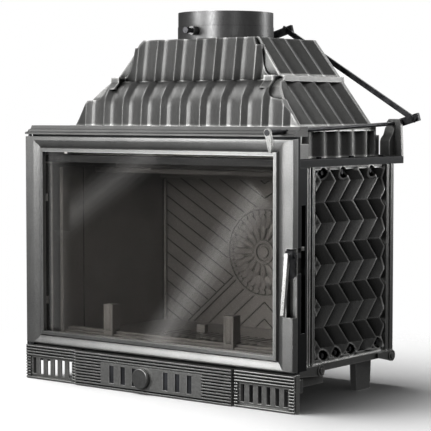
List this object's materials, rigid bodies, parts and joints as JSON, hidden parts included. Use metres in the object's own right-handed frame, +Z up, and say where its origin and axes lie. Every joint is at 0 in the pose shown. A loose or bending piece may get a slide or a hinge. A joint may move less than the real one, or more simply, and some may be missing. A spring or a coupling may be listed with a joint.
{
  "type": "fireplace insert",
  "caption": "Cast-iron wood fireplace insert with hinged glass door, chevron-ribbed sides, stepped ribbed smoke hood, round flue collar, ash drawer and a lever-worked flue damper.",
  "frame": {"origin": "middle of the overall box's base, on the floor", "axes": "+X to the stove's right seen from the front, +Y to its back, +Z up; the door faces -Y"},
  "size_m": [0.7212, 0.4704, 0.775],
  "materials": {
    "painted_iron": "satin graphite stove paint on cast iron",
    "lining_iron": "matt dark lining castings with fine plank grain",
    "ceramic_glass": "clear ceramic glass, slightly smoky",
    "glass_fibre_rope": "dark braided door rope",
    "bright_steel": "bright polished stainless steel",
    "dark_steel": "blackened steel",
    "sheet_steel": "dark painted sheet steel"
  },
  "bodies": {
    "stove": {"grille_right": "painted_iron", "grille_left": "painted_iron", "ash_box": "sheet_steel", "base_plate": "painted_iron", "leg_right": "painted_iron", "leg_left": "painted_iron", "wall_right": "painted_iron", "wall_left": "painted_iron", "corner_post_right": "painted_iron", "corner_post_left": "painted_iron", "rear_wall": "painted_iron", "ring_plate": "painted_iron", "front_bridge": "painted_iron", "front_frame": "painted_iron", "latch_catch": "painted_iron", "cornice": "painted_iron", "lining_right": "lining_iron", "lining_left": "lining_iron", "back_plate": "lining_iron", "back_rosette": "lining_iron", "hearth_plate": "lining_iron", "fire_grate": "lining_iron", "log_rail": "lining_iron", "baffle": "lining_iron", "baffle_bars": "lining_iron", "hood_base": "painted_iron", "hood_front": "painted_iron", "hood_lower_right": "painted_iron", "hood_lower_left": "painted_iron", "hood_upper_right": "painted_iron", "hood_upper_left": "painted_iron", "hood_ledge": "painted_iron", "hood_back": "painted_iron", "hood_top_plate": "painted_iron", "flue_collar": "painted_iron", "shaft_bracket": "painted_iron", "bolts": "dark_steel"},
    "door": {"door_frame": "painted_iron", "door_glass": "ceramic_glass", "door_rope": "glass_fibre_rope", "glass_clips": "bright_steel", "hinge_pins": "dark_steel", "handle_pin": "dark_steel"},
    "door_handle": {"handle_hub": "dark_steel", "handle_bar": "bright_steel"},
    "ash_drawer": {"drawer_front": "painted_iron", "ash_tray": "sheet_steel"},
    "air_slide": {"air_slide": "sheet_steel", "air_knob": "painted_iron"},
    "damper_shaft": {"damper_shaft": "dark_steel", "damper_lever": "bright_steel", "lower_crank": "dark_steel"},
    "damper_rod": {"damper_rod": "dark_steel"},
    "damper_blade": {"damper_axle": "dark_steel", "damper_blade": "dark_steel", "blade_screws": "dark_steel", "axle_nut": "bright_steel", "upper_crank": "dark_steel"}
  },
  "joints": [
    {"name": "door_hinge", "type": "hinge", "parent": "stove", "child": "door", "pos_m": [-0.35109, -0.18148, 0.297], "axis": [0, 0, -1], "range_deg": [0, 110]},
    {"name": "handle_turn", "type": "hinge", "parent": "door", "child": "door_handle", "pos_m": [0.33041, -0.18498, 0.298], "axis": [-1, 0, 0], "range_deg": [0, 45]},
    {"name": "drawer_slide", "type": "slide", "parent": "stove", "child": "ash_drawer", "axis": [0, -1, 0], "range_m": [0, 0.25]},
    {"name": "air_control", "type": "slide", "parent": "ash_drawer", "child": "air_slide", "axis": [1, 0, 0], "range_m": [0, 0.01525]},
    {"name": "damper_turn", "type": "hinge", "parent": "stove", "child": "damper_shaft", "pos_m": [0.3084, -0.18898, 0.531], "axis": [0, -0.9995, -0.0329], "range_deg": [0, 90]},
    {"name": "rod_lower_pivot", "type": "hinge", "parent": "damper_shaft", "child": "damper_rod", "pos_m": [0.34686, 0.22466, 0.55566], "axis": [0, -0.9995, -0.0329], "range_deg": [-90, 0]},
    {"name": "blade_turn", "type": "hinge", "parent": "stove", "child": "damper_blade", "pos_m": [-0.0106, 0.05702, 0.735], "axis": [0, -1, 0], "range_deg": [0, 90]}
  ],
  "couplings": [
    {"joint": "rod_lower_pivot", "follows": "damper_turn", "ratio": -1},
    {"joint": "blade_turn", "follows": "damper_turn", "ratio": 1}
  ]
}
